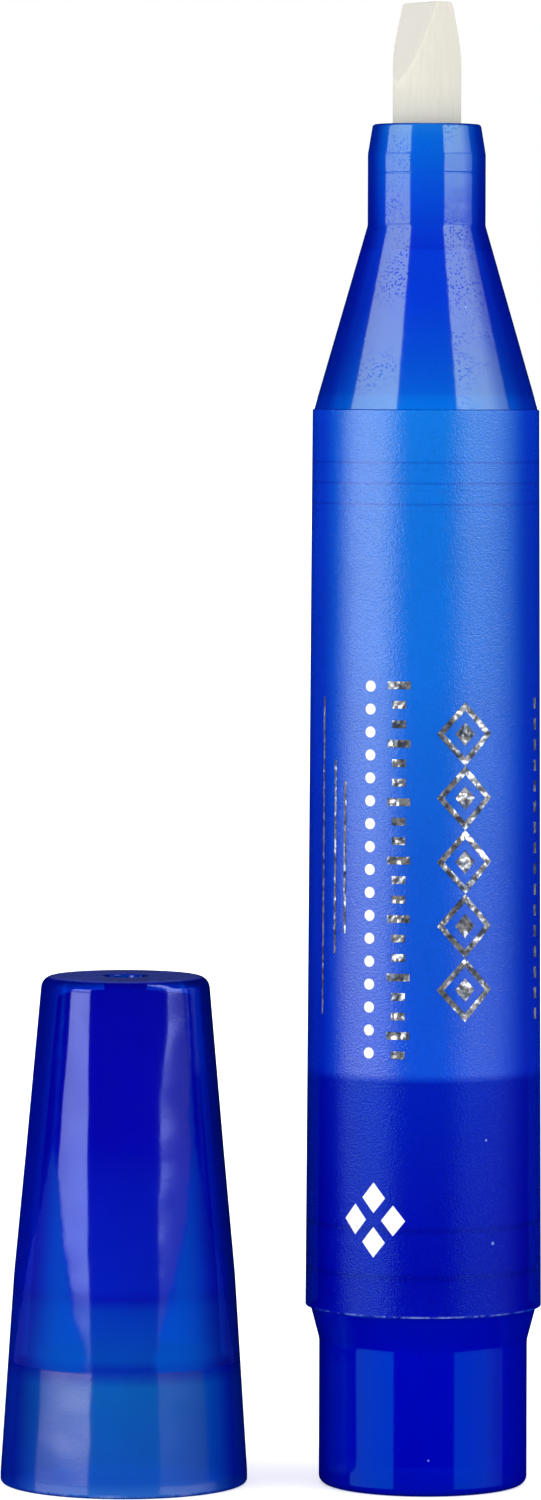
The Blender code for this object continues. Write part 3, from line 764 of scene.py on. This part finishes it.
def polished_polypropylene_cap():
    """Polished plastic that has shrunk from the mould between its four ribs: there the surface is
    matt, and the mirrored lamps narrow downwards. The thin mouth is the lightest part."""
    material, place, height = start_material("polished_polypropylene_cap")
    azimuth, off_axis = round_the_cap(material, place)
    step = CAP_STEP_Z / MM
    mouth = SLEEVE_MOUTH_Z / MM
    top = CAP_TOP_Z / MM
    side_end = top - 0.06
    # The flat top is painted a lighter grey-blue at the last stop, a painted reflection of the bright
    # surroundings seen at a grazing view. Just below its edge the side is darker.
    colour = colour_by_height(material, height, [
        (0.0, "3070c4"), (1.2, "0850b4"), (step - 1.0, "005cb4"), (step - 0.2, "003ca8"),
        (step + 0.3, "0028a4"), (step + 1.0, "0044b0"), (mouth - 0.3, "0032b2"), (mouth + 0.5, "0010ac"),
        (mouth + 1.2, "001ab8"), (23.0, "000cb4"), (25.0, "0000b2"), (34.0, "0000a6"),
        (36.5, "0000a0"), (side_end, "00008c"), (top, "4854b0"),
    ])
    colour = cloudy(material, place, colour, size_mm=5.0, amount=0.07)
    dust = specks(material, place, spacing_mm=3.0, size_mm=0.18, kept_share=0.3)
    colour = tinted(material, colour, dust, "7a98ea", amount=0.6)
    colour = worn_rim(material, colour, place, height, 0.0, 0.8 * MM)
    # Painted shade: the vent hole and its rim are darkened, as a hole in shade.
    vent_shade_mask = add_node(material, "MapRange", {
        "Value": off_axis, "From Min": CAP_VENT_R + 0.2 * MM, "From Max": CAP_VENT_R + 0.05 * MM,
    })
    colour = tinted(material, colour, vent_shade_mask, "00006c", amount=0.9)
    sunk = sink_marks(material, place, height, azimuth)
    # The half of each matt patch that is nearer the cap's front or side is painted a lighter blue: a painted
    # highlight, the lamps' light spread through the matt plastic.
    off_front = add_node(material, "Math", {0: azimuth}, operation="ABSOLUTE")
    in_quarter = add_node(material, "Math", {0: off_front, 1: math.radians(90.0)}, operation="MODULO")
    first_half = add_node(material, "MapRange", {
        "Value": in_quarter, "From Min": math.radians(34.0), "From Max": math.radians(58.0),
        "To Min": 1.0, "To Max": 0.0,
    }, interpolation_type="SMOOTHSTEP")
    glow = add_node(material, "Math", {0: sunk, 1: first_half}, operation="MULTIPLY")
    colour = tinted(material, colour, glow, "006ee4", amount=0.4)
    roughness = add_node(material, "MapRange", {
        "Value": sunk, "From Min": 0.5, "To Min": 0.1, "To Max": 0.7,
    })
    shine = add_node(material, "MapRange", {"Value": sunk, "From Max": 0.6, "To Min": 0.5, "To Max": 0.02})
    opacity = add_node(material, "MapRange", {"Value": sunk, "To Min": 0.85, "To Max": 0.65})
    waves = add_node(material, "TexNoise", {"Vector": place, "Scale": per_mm(5.0), "Detail": 1.0})
    wavy = add_node(material, "Bump", {"Height": waves, "Distance": 0.08 * MM})
    ribbed = rib_swells(material, height, azimuth, wavy)
    normal = grain(material, place, size_mm=0.22, depth_mm=0.002, under=ribbed)
    # White at the top keeps the slant from darkening the top's painted reflection.
    deep = colour_by_height(material, height, [(0.0, "0056c4"), (side_end, "0056c4"), (top, "ffffff")])
    gloss = colour_by_height(material, height, [
        (0.0, "fff0ff"), (step, "fff0ff"), (step + 0.2, "acc6ff"), (top, "b4c4ff"),
    ])
    return translucent_wall(
        material, colour, normal, roughness=roughness, ior=2.2, deep=deep,
        tint="2890f0", opacity=opacity, gloss=gloss, shine=shine)


def rib_swells(material, height, azimuth, under):
    """A bump of four slow swells round the upper cap, where the inner cap's ribs hold the wall out,
    so that mirrored lamps are narrower there. The flat top is left plain."""
    ribs = 4.0
    turned_by = math.radians(32.0)
    full_z = 34.0 * MM
    wave = add_node(material, "Math", {0: azimuth, 1: ribs, 2: ribs * turned_by}, operation="MULTIPLY_ADD")
    swell = add_node(material, "Math", {0: wave}, operation="COSINE")
    upper = add_node(material, "MapRange", {"Value": height, "From Min": CAP_STEP_Z, "From Max": full_z})
    below_top = add_node(material, "MapRange", {
        "Value": height, "From Min": CAP_TOP_Z - 0.05 * MM, "From Max": CAP_TOP_Z - 0.6 * MM,
    }, interpolation_type="SMOOTHSTEP")
    strength = add_node(material, "Math", {0: upper, 1: below_top}, operation="MULTIPLY")
    rise = add_node(material, "Math", {0: swell, 1: strength}, operation="MULTIPLY")
    return add_node(material, "Bump", {"Height": rise, "Distance": 0.36 * MM, "Normal": under})


def sink_marks(material, place, height, azimuth):
    """A mask of four matt arches round the cap, which begin at its waist and widen down to its step."""
    rib_low_z = 10.0 * MM
    rib_high_z = 25.0 * MM
    rib_low_half = math.radians(9.0)
    rib_high_half = math.radians(36.0)
    raggedness = math.radians(16.0)
    off_rib = add_node(material, "Math", {0: azimuth, 1: math.radians(45.0)}, operation="PINGPONG")
    rib_half = add_node(material, "MapRange", {
        "Value": height, "From Min": rib_low_z, "From Max": rib_high_z,
        "To Min": rib_low_half, "To Max": rib_high_half,
    })
    slanted = add_node(material, "Mapping", {
        "Vector": place, "Rotation": (0.0, math.radians(-20.0), 0.0), "Scale": (1.0, 1.0, 0.3),
    })
    ragged = add_node(material, "TexNoise", {
        "Vector": slanted, "Scale": per_mm(2.0), "Detail": 6.0, "Roughness": 0.75,
    })
    edge = add_node(material, "Math", {0: ragged, 1: raggedness, 2: rib_half}, operation="MULTIPLY_ADD")
    beyond = add_node(material, "Math", {0: off_rib, 1: edge}, operation="SUBTRACT")
    inside = add_node(material, "MapRange", {
        "Value": beyond, "From Min": math.radians(-2.5), "From Max": math.radians(4.5),
    }, interpolation_type="SMOOTHSTEP")
    above_step = add_node(material, "MapRange", {
        "Value": height, "From Min": CAP_STEP_Z, "From Max": CAP_STEP_Z + CAP_STEP_RISE,
    })
    return add_node(material, "Math", {0: inside, 1: above_step}, operation="MULTIPLY")


def polypropylene_inner_cap():
    """The same plastic, plainly moulded and seen only through the cap or in its mouth."""
    material, place, height = start_material("polypropylene_inner_cap")
    colour = colour_by_height(material, height, [
        (SLEEVE_MOUTH_Z / MM, "0020b4"), (CAP_WAIST_Z / MM, "0010b0"), (CAP_TOP_Z / MM, "0008a8"),
    ])
    colour = cloudy(material, place, colour, size_mm=4.0, amount=0.08)
    normal = grain(material, place, size_mm=0.3, depth_mm=0.004)
    return translucent_wall(
        material, colour, normal, roughness=0.2, ior=1.5, deep=linear("005ad6"), tint="2080ff",
        opacity=0.92)


def fibre_streaks(material, place, size_mm, stretch, roughness, spread, dark, pale):
    """Streaks along a rod of bonded fibres, as a pattern for bump and as a colour. A fibre is about
    0.02 mm thick, which is too fine to show, so the streaks are as wide as a bundle of them."""
    along = add_node(material, "Mapping", {"Vector": place, "Scale": (1.0, 1.0, stretch)})
    fibres = add_node(material, "TexNoise", {
        "Vector": along, "Scale": per_mm(size_mm), "Detail": 4.0, "Roughness": roughness,
    })
    share = add_node(material, "MapRange", {
        "Value": fibres, "From Min": 0.5 - spread, "From Max": 0.5 + spread,
    })
    colour = add_node(material, "Mix", {0: share, 6: linear(dark), 7: linear(pale)}, data_type="RGBA")
    return fibres, colour


def past_the_cuts(material, place, height):
    """How far a point of the nib lies past the nearer of the chisel's two cuts. Within the felt this
    is less than 0."""
    beside = add_node(material, "VectorMath", {0: place, 1: CHISEL_OUTWARD}, operation="DOT_PRODUCT")
    either = add_node(material, "Math", {0: beside}, operation="ABSOLUTE")
    run = add_node(material, "Math", {0: either, 1: CHISEL_HALF}, operation="SUBTRACT")
    level = add_node(material, "Math", {0: height, 1: NIB_TOP_Z}, operation="SUBTRACT")
    rise = add_node(material, "Math", {0: level, 1: CHISEL_NORMAL.z}, operation="MULTIPLY")
    return add_node(material, "Math", {
        0: run, 1: CHISEL_NORMAL.dot(CHISEL_OUTWARD), 2: rise,
    }, operation="MULTIPLY_ADD")


def bonded_felt():
    """Polyester fibres lying along the rod and bonded with resin: cream white, matt, softly streaked.
    The two cuts show the fibres' ends and are painted greyer, partly as painted shade where they
    face away from the lamps; their edges carry a painted highlight. Near the neck the felt is painted a
    little greyer, as painted shade."""
    material, place, height = start_material("bonded_felt")
    fibres, colour = fibre_streaks(
        material, place, size_mm=0.16, stretch=0.07, roughness=0.6, spread=0.2, dark="cbc8bc", pale="d3d0c4")
    past = past_the_cuts(material, place, height)
    cut = add_node(material, "MapRange", {
        "Value": past, "From Min": -0.2 * MM, "From Max": -0.08 * MM,
    }, interpolation_type="SMOOTHSTEP")
    edge = ring_lines(material, past, [-0.24 * MM], 0.3 * MM)
    # Painted shade greys the cuts, over the fibres' ends, and a painted highlight lightens their edges.
    colour = tinted(material, colour, cut, "c3c0ba", amount=0.6)
    colour = tinted(material, colour, edge, "f0ede4", amount=0.12)
    # Painted shade: the felt is greyed towards the neck.
    neck_shade_mask = add_node(material, "MapRange", {
        "Value": height, "From Min": NECK_TOP_Z, "From Max": NECK_TOP_Z + 3.0 * MM,
        "To Min": 1.0, "To Max": 0.0,
    })
    colour = tinted(material, colour, neck_shade_mask, "b4b6a8", amount=0.35)
    bump = add_node(material, "Bump", {"Height": fibres, "Distance": 0.002 * MM})
    felt = add_node(material, "BsdfPrincipled", {
        "Base Color": colour, "Roughness": 0.85, "Sheen Weight": 0.2, "Sheen Roughness": 0.5,
        "Normal": bump,
    })
    add_node(material, "OutputMaterial", {"Surface": felt})
    return material


def bonded_fibre():
    """The reservoir's long white fibres, soaked with oil: streaks along it and a soft wet sheen."""
    material, place, _ = start_material("bonded_fibre")
    fibres, colour = fibre_streaks(
        material, place, size_mm=0.3, stretch=0.04, roughness=0.5, spread=0.15, dark="dfe2e2", pale="f6f7f6")
    bump = add_node(material, "Bump", {"Height": fibres, "Distance": 0.04 * MM})
    rod = add_node(material, "BsdfPrincipled", {"Base Color": colour, "Roughness": 0.5, "Normal": bump})
    add_node(material, "OutputMaterial", {"Surface": rod})
    return material


def shrunk_film():
    """Clear film shrunk round the fibres: nearly invisible, with long creases that catch the light."""
    material, place, _ = start_material("shrunk_film")
    along = add_node(material, "Mapping", {"Vector": place, "Scale": (1.0, 1.0, 0.2)})
    creases = add_node(material, "TexNoise", {"Vector": along, "Scale": per_mm(1.2)})
    bump = add_node(material, "Bump", {"Height": creases, "Distance": 0.05 * MM})
    clear = add_node(material, "BsdfTransparent", {"Color": linear("f4f8fa")})
    skin = add_node(material, "BsdfPrincipled", {
        "Base Color": linear("e8eef0"), "Roughness": 0.12, "IOR": 1.5, "Normal": bump,
    })
    share = add_node(material, "MapRange", {"Value": creases, "To Min": 0.2, "To Max": 0.35})
    film = add_node(material, "MixShader", {0: share, 1: clear, 2: skin})
    add_node(material, "OutputMaterial", {"Surface": film})
    return material


def hot_stamped_foil():
    """Aluminium foil pressed into the satin plastic: it takes its grain, so it glints unevenly, and its
    colour is painted in dark and bright patches as painted reflection. The grain is too fine to show, so it
    is drawn coarser."""
    material, place, _ = start_material("hot_stamped_foil")
    # Painted reflection: dark and bright patches in the foil's colour stand for its glints and the dark
    # surroundings it mirrors.
    painted_glint_patches = add_node(material, "TexNoise", {"Vector": place, "Scale": per_mm(0.6), "Detail": 3.0})
    share = add_node(material, "MapRange", {"Value": painted_glint_patches, "From Min": 0.4, "From Max": 0.6})
    colour = add_node(material, "Mix", {
        0: share, 6: linear("6e788a"), 7: linear("eef0f4"),
    }, data_type="RGBA")
    roughness = add_node(material, "MapRange", {"Value": share, "To Min": 0.28, "To Max": 0.18})
    folds = grain(material, place, size_mm=1.3, depth_mm=0.55)
    normal = grain(material, place, size_mm=0.35, depth_mm=0.01, under=folds)
    foil = add_node(material, "BsdfPrincipled", {
        "Base Color": colour, "Metallic": 0.8, "Roughness": roughness, "Normal": normal,
    })
    add_node(material, "OutputMaterial", {"Surface": foil})
    return material


def screen_printed_ink():
    """White ink pushed through a screen: an even, slightly raised coat with a few pinholes."""
    material, place, _ = start_material("screen_printed_ink")
    pinholes = specks(material, place, spacing_mm=0.5, size_mm=0.16, kept_share=0.25)
    colour = tinted(material, linear("f0f3f8"), pinholes, "7a9cf0", amount=0.6)
    normal = grain(material, place, size_mm=0.25, depth_mm=0.006)
    ink = add_node(material, "BsdfPrincipled", {"Base Color": colour, "Roughness": 0.45, "Normal": normal})
    add_node(material, "OutputMaterial", {"Surface": ink})
    return material


def make_camera():
    """The photograph's view: level, a little above the barrel's rim, with the frame shifted down and
    the camera turned a hair, because the pen leans to the right in it."""
    photo_height = 1500
    pixels_per_mm = 13.7
    distance = 540.0 * MM
    height = 81.2 * MM
    middle_x = -11.36 * MM
    middle_z = 53.4 * MM
    lean = math.radians(0.185)
    framed = photo_height / pixels_per_mm * MM
    data = bpy.data.cameras.new("camera")
    data.sensor_width = 36.0
    data.lens = data.sensor_width * distance / framed
    data.shift_y = (middle_z - height) / framed
    data.clip_start = 10.0 * MM
    data.clip_end = 100.0
    camera = bpy.data.objects.new("camera", data)
    bpy.context.scene.collection.objects.link(camera)
    camera.location = (middle_x, -distance, height)
    camera.rotation_euler = (math.radians(90.0), -lean, 0.0)
    bpy.context.scene.camera = camera


def grey(level):
    return (level, level, level, 1.0)


def make_softbox(name, side, across, upwards):
    """A tall panel of light at one side, 0.8 m away, whose cloth isn't lit evenly. Across gives its
    brightness at azimuths from the camera's side outwards, and upwards at heights in mm."""
    distance = 800.0 * MM
    radiance = 2.8
    turn = math.radians((across[0][0] + across[-1][0]) / 2)
    half_width = distance * math.tan(math.radians(across[-1][0]) - turn)
    low_z = upwards[0][0] * MM
    high_z = upwards[-1][0] * MM
    data = bpy.data.lights.new(name, "AREA")
    data.shape = "RECTANGLE"
    data.size = 2 * half_width
    data.size_y = high_z - low_z
    data.energy = radiance * math.pi * data.size * data.size_y
    data.use_nodes = True
    data.node_tree.nodes.clear()
    spot = add_node(data, "NewGeometry")
    sides = add_node(data, "SeparateXYZ", {"Vector": spot.outputs["Parametric"]})
    column_stops = []
    for azimuth_deg, level in across:
        aside = distance * math.tan(math.radians(azimuth_deg) - turn) / half_width
        column_stops.append((0.5 - side * aside / 2, grey(level)))
    row_stops = [((height_mm * MM - low_z) / data.size_y, grey(level)) for height_mm, level in upwards]
    column = add_node(data, "ValToRGB", {"Fac": sides.outputs["X"]}, stops=sorted(column_stops))
    row = add_node(data, "ValToRGB", {"Fac": sides.outputs["Y"]}, stops=row_stops)
    brightness = add_node(data, "Math", {0: column, 1: row}, operation="MULTIPLY")
    glow = add_node(data, "Emission", {"Strength": brightness})
    add_node(data, "OutputLight", {"Surface": glow})
    lamp = bpy.data.objects.new(name, data)
    bpy.context.scene.collection.objects.link(lamp)
    place = Vector((side * math.sin(turn), -math.cos(turn), 0.0)) * distance
    lamp.location = place + Vector((0.0, 0.0, (low_z + high_z) / 2))
    lamp.rotation_euler = (-place).to_track_quat("-Z", "Y").to_euler()


def make_lights():
    """The studio has a tall panel at each side, of which the right one is the dimmer. The cloth of
    each is dimmer towards the table."""
    left_across = [(33.6, 0.0), (34.0, 0.8), (60.0, 1.0), (88.6, 1.0), (89.0, 0.0)]
    left_upwards = [
        (-290.0, 0.2), (-80.0, 0.27), (-55.0, 0.08), (-35.0, 0.12), (0.0, 0.52), (45.0, 0.9),
        (90.0, 1.1), (110.0, 0.8), (140.0, 0.9), (160.0, 0.5), (260.0, 0.5), (330.0, 0.85), (800.0, 1.1),
    ]
    right_across = [(33.6, 0.0), (34.0, 0.28), (44.0, 0.45), (60.0, 0.95), (97.6, 1.05), (98.0, 0.0)]
    right_upwards = [
        (-290.0, 0.14), (-80.0, 0.18), (-50.0, 0.03), (-20.0, 0.02), (0.0, 0.07), (45.0, 0.15),
        (78.0, 0.08), (90.0, 0.13), (105.0, 0.15), (112.0, 0.9), (140.0, 0.9), (160.0, 0.5),
        (260.0, 0.5), (330.0, 0.9), (800.0, 0.95),
    ]
    make_softbox("left_panel", -1, left_across, left_upwards)
    make_softbox("right_panel", 1, right_across, right_upwards)


def make_floor():
    """A white table. The camera sees it lifted to white, more and more with the distance from the
    pen, so that its soft shadow stays near its foot."""
    table_size = 40.0
    lift_starts = 0.02
    lift_ends = 0.3
    bpy.ops.object.select_all(action="DESELECT")
    bpy.ops.mesh.primitive_plane_add(size=table_size)
    floor = bpy.context.object
    floor.name = "floor"
    material = new_material("white_table")
    place = add_node(material, "TexCoord").outputs["Object"]
    away = add_node(material, "VectorMath", {0: place}, operation="LENGTH")
    lift = add_node(material, "MapRange", {
        "Value": away, "From Min": lift_starts, "From Max": lift_ends,
        "To Min": 0.5, "To Max": 1.0,
    })
    light_path = add_node(material, "LightPath")
    seen = add_node(material, "Math", {
        0: light_path.outputs["Is Camera Ray"], 1: lift,
    }, operation="MULTIPLY")
    paint = add_node(material, "BsdfDiffuse", {"Color": linear("f2f2f2")})
    glow = add_node(material, "Emission", {"Strength": seen})
    both = add_node(material, "AddShader", {0: paint, 1: glow})
    add_node(material, "OutputMaterial", {"Surface": both})
    floor.data.materials.append(material)
    floor.visible_glossy = False


def make_world():
    """White for the camera and a soft fill for everything else, but dark in mirrored reflections,
    as the studio round the panels is."""
    world = bpy.data.worlds.new("studio")
    bpy.context.scene.world = world
    world.use_nodes = True
    world.node_tree.nodes.clear()
    fill = 0.8
    light_path = add_node(world, "LightPath")
    level = add_node(world, "MapRange", {
        "Value": light_path.outputs["Is Camera Ray"], "To Min": fill, "To Max": 1.0,
    })
    sky = add_node(world, "Background", {"Color": linear("ffffff"), "Strength": level})
    add_node(world, "OutputWorld", {"Surface": sky})
    world.cycles_visibility.glossy = False


def main():
    barrel = make_barrel()
    finish_piece(barrel, satin_polypropylene_barrel(), "pen", "barrel")
    finish_piece(make_front_section(), polished_polypropylene_front(), "pen", "front_section")
    finish_piece(make_end_plug(), polished_polypropylene_plug(), "pen", "end_plug")
    finish_piece(make_felt_nib(), bonded_felt(), "pen", "felt_nib")
    finish_piece(make_fibre_reservoir(), bonded_fibre(), "pen", "fibre_reservoir")
    finish_piece(make_reservoir_film(), shrunk_film(), "pen", "reservoir_film")
    finish_piece(make_cap_shell(), polished_polypropylene_cap(), "cap", "cap_shell")
    finish_piece(make_inner_cap(), polypropylene_inner_cap(), "cap", "inner_cap")
    finish_piece(make_foil_print(barrel), hot_stamped_foil(), "pen")
    finish_piece(make_ink_print(barrel), screen_printed_ink(), "pen")
    make_camera()
    make_lights()
    make_floor()
    make_world()
    bpy.context.scene.view_settings.view_transform = "Standard"


main()
